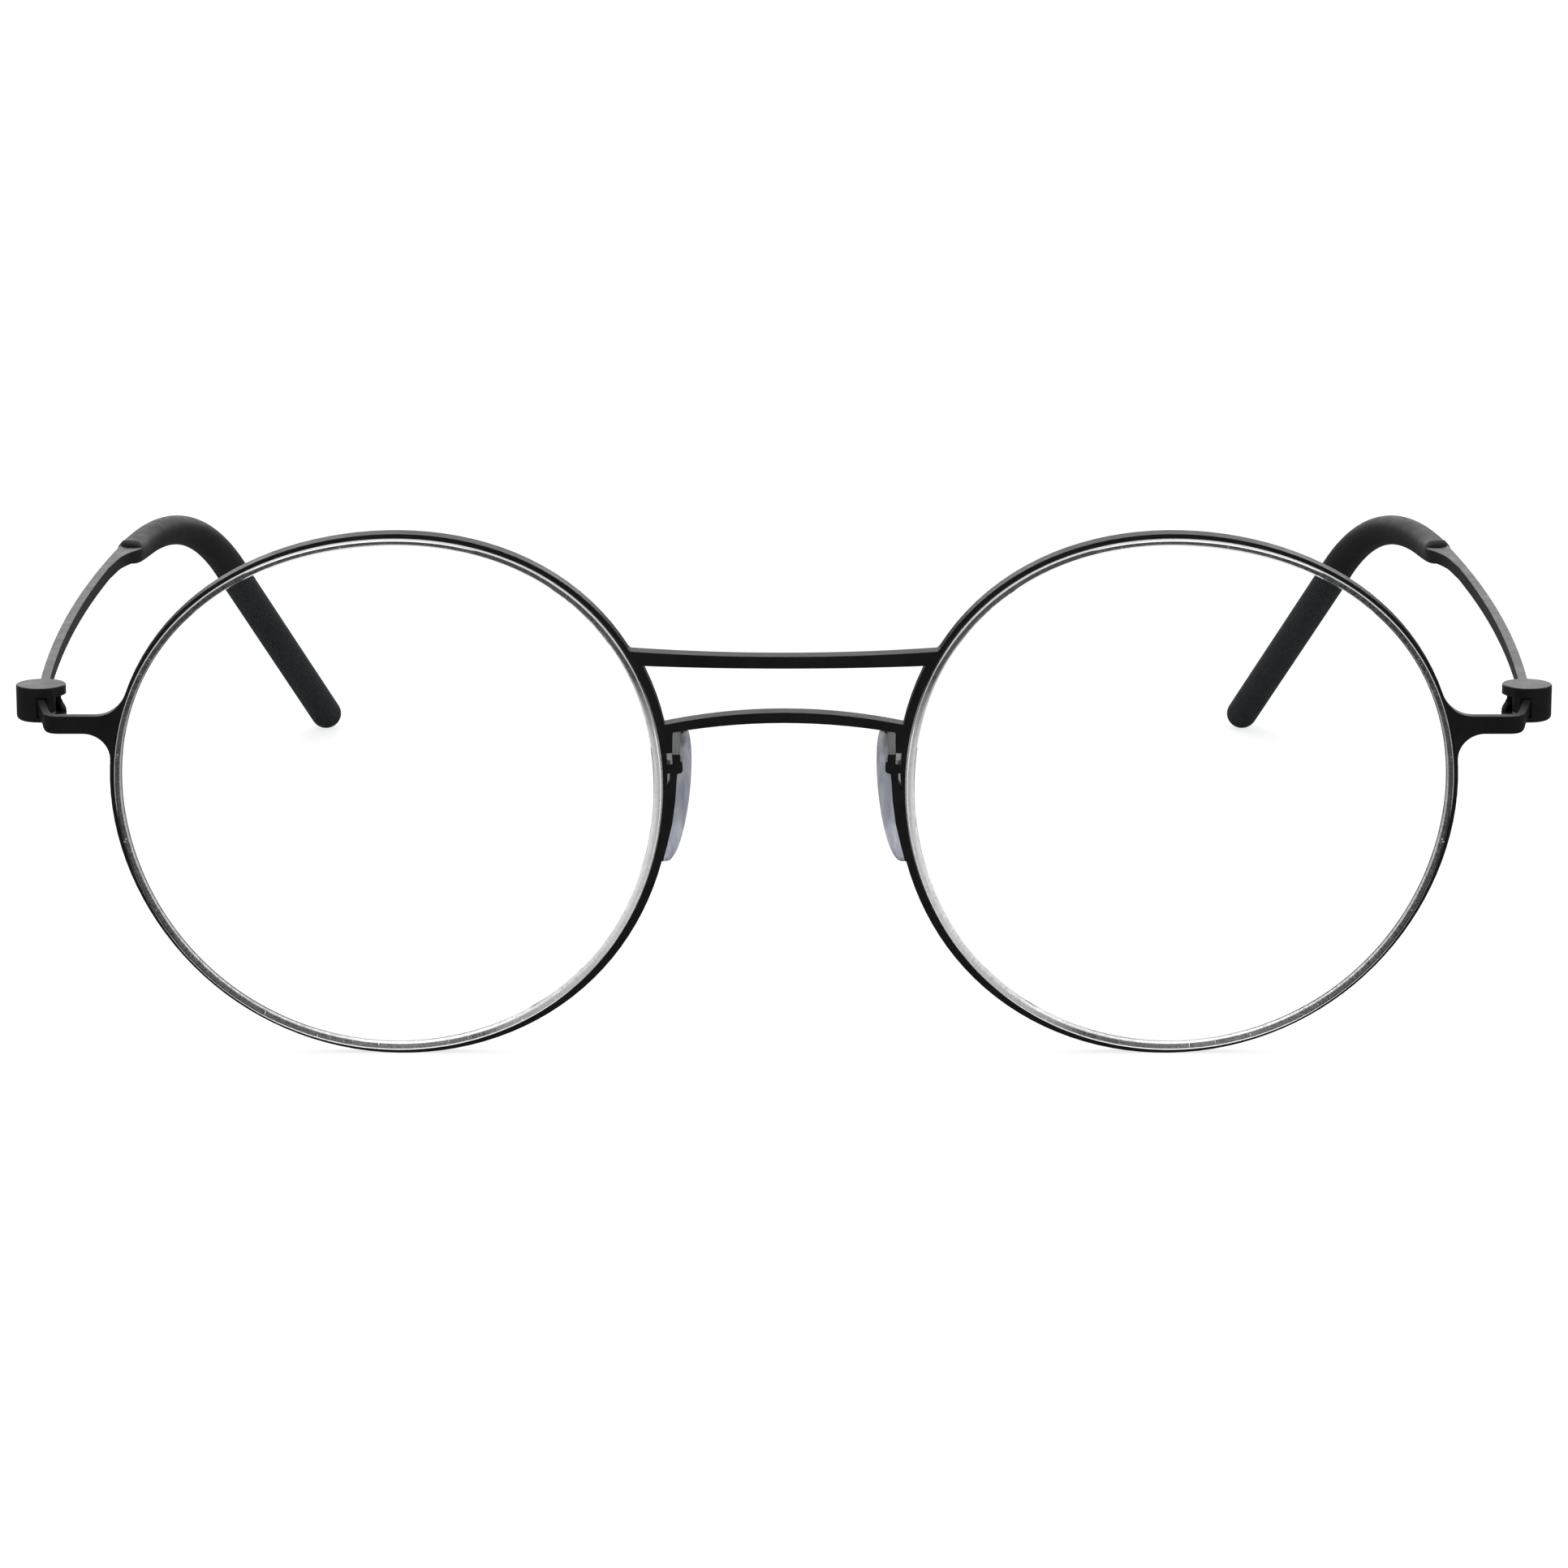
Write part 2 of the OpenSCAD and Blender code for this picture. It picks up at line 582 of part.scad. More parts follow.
// Points along the sleeve, each with its direction, its distance and its size
function bend_way(t) = let (d = bend_point(t + 0.001) - bend_point(t - 0.001)) d / norm(d);
bend_length = norm(bend_end - mouth) * 1.03;
function behind_mouth(t, start) = start + (1 - start) * sin(90 * min(1, t * bend_length / mouth_len));
function sleeve_sag(t) = sleeve_hang * behind_mouth(t, 0.35) * pow(1 - t, 2) * (1 + 2 * t);
bend_steps_at = [for (i = [0 : bend_steps]) pow(i / bend_steps, 1.25)];
core_rings = [for (t = bend_steps_at) [bend_point(t), bend_way(t)]];
bend_rings = [for (t = bend_steps_at) [bend_point(t) - [0, 0, sleeve_sag(t)], bend_way(t),
    behind_mouth(t, 0.68) * (1 - sleeve_taper * (1 - t))]];
tip_rings = [for (i = [1 : 3]) [bend_end + (tip_len - tip_dome) * i / 3 * tip_way, tip_way, 1]];
dome_rings = [for (a = [22, 42, 60, 74, 84]) [tip_centre + tip_dome * sin(a) * tip_way, tip_way, cos(a)]];

module sleeve_core(grow) {
    start = [[mouth - 0.4 * mouth_way, mouth_way]];
    end = [[bend_end + (tip_len - core_short + grow) * tip_way, tip_way]];
    loft([for (r = concat(start, core_rings, end))
        across(r[0], r[1], strip_t * 0.95 + 2 * grow, strip_h * 0.9 + 2 * grow, 8)]);
}

module temple(left) {
    color(metal) on_side(left) {
        difference() {
            union() {
                at_hinge(drum_floor + base_t) drum_shell();
                strip_body();
            }
            at_hinge(drum_floor) cylinder(h = base_t + pocket_h, r = pocket_r);
        }
        sleeve_core(0);
    }
}

module ear_sleeve(left) {
    color(rubber) on_side(left) difference() {
        loft([for (r = concat(bend_rings, tip_rings, dome_rings))
            across(r[0], r[1], sleeve_w * r[2], sleeve_h * r[2], sleeve_sides)]);
        sleeve_core(0.04);
    }
}

// Plate that closes the drum, with a rounded lower edge and a seat for the pin's head
module hinge_plate(left) {
    r = drum_d / 2;
    round = 0.42;
    color(metal) on_side(left) at_hinge(drum_floor) difference() {
        rotate_extrude() polygon(concat([[0, base_t - eps], [0, 0]],
            [for (a = [0 : 22.5 : 90]) [r - round + round * sin(a), round - round * cos(a)]],
            [[r, base_t - eps]]));
        translate([0, 0, -1]) cylinder(h = base_t + 2, r = pin_d / 2 + eps);
        translate([0, 0, -1]) cylinder(h = 1 + head_t, r = head_r + eps);
    }
}

module hinge_pin(left) {
    color(steel) on_side(left) at_hinge(drum_floor) {
        cylinder(h = base_t + pocket_h + pin_seat - eps, r = pin_d / 2);
        cylinder(h = head_t - eps, r = head_r);
    }
}

module washer(left, z) {
    color(clear_nylon) on_side(left) at_hinge(z) difference() {
        cylinder(h = washer_t, r = bore_r + end_t);
        translate([0, 0, -1]) cylinder(h = washer_t + 2, r = pin_d / 2 + eps);
    }
}
lower_washer_z = drum_floor + base_t + stack_clear;
upper_washer_z = roll_floor + roll_h + stack_clear;

front_frame();
lens(false);  // right_lens
lens(true);  // left_lens
nose_pad(false);  // right_nose_pad
nose_pad(true);  // left_nose_pad
pad_insert(false);  // right_pad_insert
pad_insert(true);  // left_pad_insert
hinge_bush(false);  // right_hinge_bush
hinge_bush(true);  // left_hinge_bush
temple(false);  // right_temple
temple(true);  // left_temple
hinge_plate(false);  // right_hinge_plate
hinge_plate(true);  // left_hinge_plate
hinge_pin(false);  // right_hinge_pin
hinge_pin(true);  // left_hinge_pin
washer(false, upper_washer_z);  // right_upper_washer
washer(true, upper_washer_z);  // left_upper_washer
washer(false, lower_washer_z);  // right_lower_washer
washer(true, lower_washer_z);  // left_lower_washer
ear_sleeve(false);  // right_ear_sleeve
ear_sleeve(true);  // left_ear_sleeve
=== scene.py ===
import math
import bmesh
import bpy
from mathutils import Matrix, Vector


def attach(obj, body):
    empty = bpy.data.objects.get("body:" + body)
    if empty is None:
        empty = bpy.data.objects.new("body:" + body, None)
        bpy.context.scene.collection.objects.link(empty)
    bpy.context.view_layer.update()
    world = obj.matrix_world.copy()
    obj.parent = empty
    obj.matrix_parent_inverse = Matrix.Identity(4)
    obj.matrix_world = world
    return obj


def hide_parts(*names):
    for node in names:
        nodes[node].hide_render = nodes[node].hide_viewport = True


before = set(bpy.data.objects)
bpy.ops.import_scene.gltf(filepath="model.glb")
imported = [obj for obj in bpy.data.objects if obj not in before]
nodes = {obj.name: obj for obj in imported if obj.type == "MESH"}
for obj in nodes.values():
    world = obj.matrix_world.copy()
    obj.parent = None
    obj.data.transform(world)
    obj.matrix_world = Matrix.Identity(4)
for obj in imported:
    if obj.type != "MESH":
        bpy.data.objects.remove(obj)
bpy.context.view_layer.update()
print("frame loaded:", len(nodes), "nodes")

# Where the pair stands, in mm and degrees: it is laid out from the front's reference line, then leaned back
stand = {"lean": 2.15511, "middle": 59.4053, "ground": -26.5871, "tilt": 7.8}


def place(x, y, z):
    lean = math.radians(stand["lean"])
    back = y * math.cos(lean) + z * math.sin(lean) - stand["middle"]
    up = z * math.cos(lean) - y * math.sin(lean) - stand["ground"]
    return Vector((x, back, up)) * 0.001


def placeOnFront(u, v, out):
    # u across, v up the front's plane, out towards the viewer
    tilt = math.radians(stand["tilt"])
    return place(u, -math.sin(tilt) * v - math.cos(tilt) * out, math.cos(tilt) * v - math.sin(tilt) * out)


class Socket:
    def __init__(self, shader, link):
        self.shader = shader
        self.link = link

    def math(self, operation, *others):
        return self.shader.add("Math", {"operation": operation}, dict(enumerate((self,) + others)))

    def __add__(self, other):
        return self.math("ADD", other)

    def __sub__(self, other):
        return self.math("SUBTRACT", other)

    def __rsub__(self, other):
        return self.shader.add("Math", {"operation": "SUBTRACT"}, {0: other, 1: self})

    def __mul__(self, other):
        return self.math("MULTIPLY", other)

    def __pow__(self, other):
        return self.math("POWER", other)

    __radd__ = __add__
    __rmul__ = __mul__


class Shader:
    def __init__(self, name, tree=None):
        self.material = None
        if tree is None:
            self.material = bpy.data.materials.new(name)
            self.material.use_nodes = True
            tree = self.material.node_tree
        self.tree = tree
        self.tree.nodes.clear()

    def add(self, kind, settings=None, inputs=None, out=0):
        node = self.tree.nodes.new("ShaderNode" + kind)
        for name, value in (settings or {}).items():
            setattr(node, name, value)
        for name, value in (inputs or {}).items():
            if isinstance(value, Socket):
                self.tree.links.new(value.link, node.inputs[name])
            else:
                node.inputs[name].default_value = value
        return Socket(self, node.outputs[out]) if node.outputs else None

    def mix(self, factor, first, second):
        return self.add("Mix", {"data_type": "RGBA"}, {0: factor, 6: first, 7: second}, out=2)

    def spread(self, value, low, high, toLow=0.0, toHigh=1.0):
        return self.add("MapRange", None, {"Value": value, "From Min": low, "From Max": high,
                                           "To Min": toLow, "To Max": toHigh})

    def where(self):
        return self.add("TexCoord", out=3)

    def split(self, vector, axis):
        return self.add("SeparateXYZ", None, {0: vector}, out=axis)

    def join(self, x, y, z=0.0):
        return self.add("CombineXYZ", None, {0: x, 1: y, 2: z})

    def dot(self, first, second):
        return self.add("VectorMath", {"operation": "DOT_PRODUCT"}, {0: first, 1: second}, out=1)

    def noise(self, scale, detail, rough, where=None):
        return self.add("TexNoise", None, {"Vector": where or self.where(), "Scale": scale,
                                           "Detail": detail, "Roughness": rough})

    def bump(self, height, strength, distance, normal=None):
        inputs = {"Height": height, "Strength": strength, "Distance": distance}
        if normal is not None:
            inputs["Normal"] = normal
        return self.add("Bump", None, inputs)

    def clear(self, shade, rough, others=None, ior=1.5, through=1.0):
        inputs = {"Base Color": shade, "Roughness": rough, "IOR": ior, "Transmission Weight": through}
        return self.add("BsdfPrincipled", None, {**inputs, **(others or {})})

    def finish(self, surface):
        self.add("OutputMaterial", None, {"Surface": surface})
        return self.material


def grey(value):
    return (value, value, value, 1.0)


# Parts of a noise's range that a shade or a roughness is spread over. A noise below is a tuple of its scale,
# detail and roughness.
narrow = (0.35, 0.65)
wide = (0.3, 0.7)

# Satin black coating on the cut sheet, the strips and the drums
coating = {"dark": 0.0095, "light": 0.0135, "edge": 0.035, "edgeRadius": 0.00006, "edgeSamples": 6,
           "edgeTurn": (0.995, 0.86), "edgeWear": (0.15, 0.7), "rough": (0.31, 0.41), "grainRough": 0.12,
           "shine": 0.12, "cloud": (420, 4.0, 0.6), "grain": (9000, 2.0, 0.6),
           "flecks": (3100, 2.0, 0.5), "strength": 0.35, "depth": 0.000004}


def makeCoating():
    s = Shader("black coating")
    cloud = s.noise(*coating["cloud"])
    grain = s.noise(*coating["grain"])
    flecks = s.noise(*coating["flecks"])
    # an edge is where the rounded normal turns away from the flat one
    rounded = s.add("Bevel", {"samples": coating["edgeSamples"]}, {"Radius": coating["edgeRadius"]})
    edge = s.spread(s.dot(rounded, s.add("NewGeometry", out=1)), *coating["edgeTurn"])
    shade = s.mix(s.spread(cloud, *narrow), grey(coating["dark"]), grey(coating["light"]))
    shade = s.mix(edge * s.spread(flecks, *wide, *coating["edgeWear"]), shade, grey(coating["edge"]))
    rough = s.spread(cloud, *wide, *coating["rough"]) + (grain - 0.5) * coating["grainRough"]
    normal = s.bump(grain, coating["strength"], coating["depth"], rounded)
    return s.finish(s.add("BsdfPrincipled", None, {
        "Base Color": shade, "Roughness": rough, "Metallic": 0.0, "Specular IOR Level": coating["shine"],
        "Normal": normal}))


# Lens in mm: its outline, as in the frame's grooves, its place on the front and its two curves
lens = {"radius": 25.07, "panto": 0.35, "pantoTurn": 39.5, "square": 0.15, "squareTurn": 50.0, "around": 256,
        "across": 35.8, "drop": 1.0, "proud": 0.6, "thick": 2.2, "curve": 130.0, "frontFlat": 0.12,
        "backFlat": 0.8, "faceRings": (0.02, 0.12, 0.25, 0.4, 0.55, 0.7, 0.82, 0.91, 0.97)}

# Edge of the lens in mm, as steps out from the outline and out from the front's plane: the lip with its
# polished bevel, the ridge in the groove and the ground bevel behind it. The shifts go towards the temple.
lensEdge = {"front": -0.1, "polishEnd": (-0.05, 0.57), "lip": (0.4, 0.2, 0.02), "lipShift": (0.13, -0.02),
            "overMost": 0.15, "overOut": 0.015,
            "ridge": ((-0.1, -0.03), (-0.05, -0.34), (0.1, -0.6), (-0.05, -0.86)), "ridgeParts": (3, 2, 2),
            "bevel": (0.72, 0.71), "bevelParts": 8, "back": -0.85, "rearShift": (0.2, 0.25), "perTurn": 25}

# Clear polished lens faces with a faint anti-glare coat
glass = {"tint": (0.992, 0.997, 0.998, 1), "wiped": (0.984, 0.99, 0.992, 1), "antiGlare": (0.1, 0.14, 0.16, 1),
         "wipe": (90, 2.0, 0.5), "wipeRange": (0.45, 0.8), "wave": (700, 2.0, 0.5), "polish": (0.02, 0.12)}


def letLightThrough(s, surface):
    # lamps and bounced light pass the lens as through air
    light = s.add("LightPath", out=1).math("MAXIMUM", s.add("LightPath", out=2))
    return s.add("MixShader", None, {0: light, 1: surface, 2: s.add("BsdfTransparent")})


def makeLensFace():
    s = Shader("clear lens face")
    wipe = s.noise(*glass["wipe"])
    shade = s.mix(s.spread(wipe, *glass["wipeRange"]), glass["tint"], glass["wiped"])
    return s.finish(letLightThrough(s, s.clear(shade, 0.0, {"Specular Tint": glass["antiGlare"]})))


def makeLensPolish():
    s = Shader("polished lens bevel")
    rough = s.spread(s.noise(*glass["wave"]), *wide, *glass["polish"])
    return s.finish(letLightThrough(s, s.clear(glass["tint"], rough)))


def onLens(s):
    # distance across, up and out from the nearer lens's centre, in millimetres
    origin = placeOnFront(0, -lens["drop"], 0)
    flat = s.add("VectorMath", {"operation": "SUBTRACT"}, {0: s.where(), 1: tuple(origin)})
    across = (s.split(flat, 0).math("ABSOLUTE") - lens["across"] / 1000) * 1000
    up, out = (tuple((placeOnFront(0, *way) - placeOnFront(0, 0, 0)) * 1000) for way in ((1, 0), (0, 1)))
    return across, s.dot(flat, up) * 1000, s.dot(flat, out) * 1000


def alongEdge(across, high):
    # distance along the edge in mm
    return high.math("ARCTAN2", across) * lensEdge["perTurn"]


# Ground edge: streaks across it, white ticks, and painted shade where the groove covers it, lighter by the nose
ground = {"open": (0.93, 0.94, 0.96, 1), "tick": (0.9, 0.9, 0.92, 1), "grooveShade": 0.02, "chip": 0.82,
          "chipInShade": (0.018, 0.055), "chipRough": 0.6, "chipShine": 0.06, "rough": (0.22, 0.46),
          "grind": (1.0, 3.0, 0.6), "grindScale": (9, 1.6, 1.2), "ticks": (1.0, 2.0, 0.7),
          "tickScale": (4.2, 0.9), "tickRange": (0.66, 0.74), "patches": (900, 2.0, 0.5),
          "patchRange": (0.42, 0.5), "highRange": (-2.0, 20.0), "shadeReachOut": (-1.28, -1.62),
          "shadeFade": (-0.14, 0.05), "noseAcross": (-8.0, -20.0), "noseHigh": (11.0, 4.0), "noseLessShade": 0.6,
          "solid": 0.22, "solidInShade": 0.62, "solidTick": 0.16, "tickHeight": 0.6, "strength": 0.5,
          "depth": 0.000008}


def makeLensGround():
    s = Shader("ground lens edge")
    across, high, out = onLens(s)
    along = alongEdge(across, high)
    reach = (across * across + high * high) ** 0.5
    grindAlong, grindReach, grindOut = ground["grindScale"]
    grind = s.noise(*ground["grind"], s.join(along * grindAlong, reach * grindReach, out * grindOut))
    tickAlong, tickReach = ground["tickScale"]
    ticks = s.noise(*ground["ticks"], s.join(along * tickAlong, reach * tickReach))
    patches = s.noise(*ground["patches"])
    white = s.spread(ticks, *ground["tickRange"]) * s.spread(patches, *ground["patchRange"])
    # the painted shade reaches further in towards the top
    shadeReach = s.spread(high, *ground["highRange"], *ground["shadeReachOut"])
    nose = s.spread(across, *ground["noseAcross"]) * s.spread(high, *ground["noseHigh"])
    # dark is the painted shade of the groove over the edge, with less of it by the nose
    dark = s.spread(out - shadeReach, *ground["shadeFade"]) * (1 - nose * ground["noseLessShade"])
    shade = s.mix(dark, ground["open"], grey(ground["grooveShade"]))
    shade = s.mix(white * dark, shade, ground["tick"])
    rough = s.spread(grind, *wide, *ground["rough"])
    normal = s.bump(grind + white * ground["tickHeight"], ground["strength"], ground["depth"])
    clear = s.clear(shade, rough, {"Normal": normal})
    # the diffuse part is painted dark, with streaks, where this painted shade falls
    streaks = s.mix(s.spread(grind, *narrow), *(grey(value) for value in ground["chipInShade"]))
    chipShade = s.mix(white, s.mix(dark, grey(ground["chip"]), streaks), grey(ground["chip"]))
    chip = s.add("BsdfPrincipled", None, {
        "Base Color": chipShade, "Roughness": ground["chipRough"], "Specular IOR Level": ground["chipShine"],
        "Normal": normal})
    solid = ground["solid"] + dark * ground["solidInShade"] + white * ground["solidTick"]
    return s.finish(letLightThrough(s, s.add("MixShader", None, {0: solid, 1: clear, 2: chip})))


# Frosted lip of the lens
lip = {"shade": (0.675, 0.9), "rough": (0.4, 0.6), "grind": (1.0, 3.0, 0.6), "grindScale": (6, 2.0),
       "shine": 0.3, "solid": 0.5, "strength": 0.4, "depth": 0.000006}


def makeLensLip():
    s = Shader("frosted lens lip")
    across, high, out = onLens(s)
    grindAlong, grindOut = lip["grindScale"]
    grind = s.noise(*lip["grind"], s.join(alongEdge(across, high) * grindAlong, out * grindOut))
    shade = s.mix(s.spread(grind, *wide), *(grey(value) for value in lip["shade"]))
    rough = s.spread(grind, *wide, *lip["rough"])
    frosted = s.add("BsdfPrincipled", None, {
        "Base Color": shade, "Roughness": rough, "Specular IOR Level": lip["shine"],
        "Normal": s.bump(grind, lip["strength"], lip["depth"])})
    clear = s.clear(shade, rough)
    return s.finish(letLightThrough(s, s.add("MixShader", None, {0: lip["solid"], 1: frosted, 2: clear})))


# Rear edge of the lens, with painted shade on the temple side and below
rear = {"light": 0.7, "dark": 0.1, "dullLight": 0.3, "dullShaded": 0.012, "across": (0.0, 12.0),
        "high": (22.0, 12.0), "wave": (500, 2.0, 0.5), "waveRange": (0.3, 0.6), "waveShare": (0.75, 1.0),
        "rough": (0.05, 0.15), "solid": 0.05, "solidInShade": 0.9}


def makeLensRear():
    s = Shader("rear edge of the lens")
    across, high, _ = onLens(s)
    wave = s.noise(*rear["wave"])
    # painted shade: the rear edge is darker towards the temple side and below, in patches
    paintedShade = s.spread(across, *rear["across"]) * s.spread(high, *rear["high"])
    patchy = paintedShade * s.spread(wave, *rear["waveRange"], *rear["waveShare"])
    rough = s.spread(wave, *wide, *rear["rough"])
    clear = s.clear(s.mix(patchy, grey(rear["light"]), grey(rear["dark"])), rough)
    dull = s.add("BsdfPrincipled", None, {
        "Base Color": s.mix(paintedShade, grey(rear["dullLight"]), grey(rear["dullShaded"])), "Roughness": rough})
    solid = paintedShade * rear["solidInShade"] + rear["solid"]
    return s.finish(letLightThrough(s, s.add("MixShader", None, {0: solid, 1: clear, 2: dull})))


# Matt black rubber of the ear sleeves
rubber = {"dark": 0.0135, "light": (0.0185, 0.0192, 0.02, 1), "worn": 0.03, "wornShare": 0.3,
          "lightRange": (0.35, 0.7), "wornRange": (0.55, 0.8), "rough": (0.46, 0.6), "shine": 0.2,
          "sheen": 0.015, "sheenRough": 0.4, "cloud": (160, 4.0, 0.6), "pore": (7000, 3.0, 0.65),
          "smear": (900, 3.0, 0.55), "poreHeight": 0.7, "smearHeight": 0.3, "strength": 0.2,
          "depth": 0.00001}


def makeRubber():
    s = Shader("matt black rubber")
    cloud = s.noise(*rubber["cloud"])
    pore = s.noise(*rubber["pore"])
    smear = s.noise(*rubber["smear"])
    shade = s.mix(s.spread(cloud, *rubber["lightRange"]), grey(rubber["dark"]), rubber["light"])
    shade = s.mix(s.spread(smear, *rubber["wornRange"], 0, rubber["wornShare"]), shade, grey(rubber["worn"]))
    rough = s.spread(smear, *wide, *rubber["rough"])
    height = pore * rubber["poreHeight"] + smear * rubber["smearHeight"]
    return s.finish(s.add("BsdfPrincipled", None, {
        "Base Color": shade, "Roughness": rough, "Specular IOR Level": rubber["shine"],
        "Sheen Weight": rubber["sheen"], "Sheen Roughness": rubber["sheenRough"],
        "Normal": s.bump(height, rubber["strength"], rubber["depth"])}))


# Clear silicone of the nose pads, with flow streaks along them
silicone = {"tint": (0.88, 0.9, 0.95, 1), "deep": (0.45, 0.49, 0.6, 1), "rough": (0.12, 0.27), "ior": 1.41,
            "through": 0.66, "cloud": (260, 3.0, 0.5), "cloudShare": 0.4, "flow": (1.0, 2.0, 0.5),
            "flowShare": 0.6, "flowScale": (1600, 1600, 180), "strength": 0.25, "depth": 0.00003}


def makeSilicone():
    s = Shader("clear silicone")
    cloud = s.noise(*silicone["cloud"])
    streak = s.add("Mapping", None, {"Vector": s.where(), "Scale": silicone["flowScale"]})
    flow = s.noise(*silicone["flow"], streak)
    milky = cloud * silicone["cloudShare"] + flow * silicone["flowShare"]
    shade = s.mix(s.spread(milky, *narrow), silicone["deep"], silicone["tint"])
    rough = s.spread(flow, *wide, *silicone["rough"])
    normal = s.bump(flow, silicone["strength"], silicone["depth"])
    return s.finish(s.clear(shade, rough, {"Normal": normal}, silicone["ior"], silicone["through"]))


# Clear nylon of the pad inserts, bushes and washers
nylon = {"dark": 0.72, "tint": (0.86, 0.87, 0.87, 1), "rough": (0.15, 0.3), "ior": 1.53, "through": 0.75,
         "cloud": (700, 3.0, 0.5), "strength": 0.2, "depth": 0.00001}


def makeNylon():
    s = Shader("clear nylon")
    cloud = s.noise(*nylon["cloud"])
    shade = s.mix(s.spread(cloud, *narrow), grey(nylon["dark"]), nylon["tint"])
    rough = s.spread(cloud, *wide, *nylon["rough"])
    normal = s.bump(cloud, nylon["strength"], nylon["depth"])
    return s.finish(s.clear(shade, rough, {"Normal": normal}, nylon["ior"], nylon["through"]))


# Turned steel of the hinge pins
steel = {"dark": 0.42, "light": 0.58, "rough": (0.26, 0.42), "rings": 2200, "wander": 0.6,
         "cloud": (1800, 3.0, 0.5), "strength": 0.2, "depth": 0.000004}


def makeSteel():
    s = Shader("turned steel")
    rings = s.add("TexWave", {"wave_type": "RINGS", "rings_direction": "Z"},
                  {"Vector": s.where(), "Scale": steel["rings"], "Distortion": steel["wander"]})
    cloud = s.noise(*steel["cloud"])
    shade = s.mix(s.spread(cloud, *wide), grey(steel["dark"]), grey(steel["light"]))
    rough = s.spread(rings, 0.0, 1.0, *steel["rough"])
    return s.finish(s.add("BsdfPrincipled", None, {
        "Base Color": shade, "Roughness": rough, "Metallic": 1.0,
        "Normal": s.bump(rings, steel["strength"], steel["depth"])}))


finishes = {"coating": makeCoating(), "lensFace": makeLensFace(), "lensPolish": makeLensPolish(),
            "lensGround": makeLensGround(), "lensLip": makeLensLip(), "lensRear": makeLensRear(),
            "rubber": makeRubber(), "silicone": makeSilicone(), "nylon": makeNylon(), "steel": makeSteel()}
print("finishes made:", len(finishes))

# Points closer than this in metres are merged, and an edge is sharp above this angle in radians
meshing = {"merge": 1e-8, "sharp": 0.6}


def buildMesh(name, body, rings, finishNames, zones=None):
    # rings of points, all of one length, joined one after another and closed with a fan at both ends;
    # zones gives the finish number of each band
    zones = zones or [0] * (len(rings) - 1)
    count = len(rings[0])
    mesh = bpy.data.meshes.new(name)
    bm = bmesh.new()
    rows = [[bm.verts.new(p) for p in ring] for ring in rings]

    def addFace(corners, zone):
        face = bm.faces.new(corners)
        face.smooth = True
        face.material_index = zone

    for row, following, zone in zip(rows, rows[1:], zones):
        for j in range(count):
            k = (j + 1) % count
            addFace((row[j], row[k], following[k], following[j]), zone)
    for row, zone, turned in ((rows[0], zones[0], True), (rows[-1], zones[-1], False)):
        centre = bm.verts.new(sum((v.co for v in row), Vector()) / count)
        for j in range(count):
            first, second = row[j], row[(j + 1) % count]
            addFace((second, first, centre) if turned else (first, second, centre), zone)
    bmesh.ops.remove_doubles(bm, verts=bm.verts, dist=meshing["merge"])
    bmesh.ops.recalc_face_normals(bm, faces=bm.faces)
    for edge in bm.edges:
        finishesHere = {face.material_index for face in edge.link_faces}
        edge.smooth = edge.calc_face_angle(0) <= meshing["sharp"] and len(finishesHere) == 1
    bm.to_mesh(mesh)
    bm.free()
    piece = bpy.data.objects.new(name, mesh)
    bpy.context.scene.collection.objects.link(piece)
    for finish in finishNames:
        mesh.materials.append(finishes[finish])
    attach(piece, body)
    return piece


def lensRing(inset, out):
    ring = []
    for i in range(lens["around"]):
        a = 2 * math.pi * i / lens["around"]
        r = lens["radius"] + inset \
            + lens["panto"] * math.cos(3 * (a - math.radians(lens["pantoTurn"]))) \
            + lens["square"] * math.cos(4 * (a - math.radians(lens["squareTurn"])))
        ring.append((r * math.cos(a), r * math.sin(a), out))
    return ring


def moved(ring, shift, part=1.0):
    return [(x - shift[0] * part, y - shift[1] * part, z) for x, y, z in ring]


def onSphere(ring, size, curve, crown):
    flat = [(x * size, y * size) for x, y, _ in ring]
    return [(x, y, crown - curve + math.sqrt(curve * curve - x * x - y * y)) for x, y in flat]


lensZones = ("lensFace", "lensPolish", "lensGround", "lensLip", "lensRear")


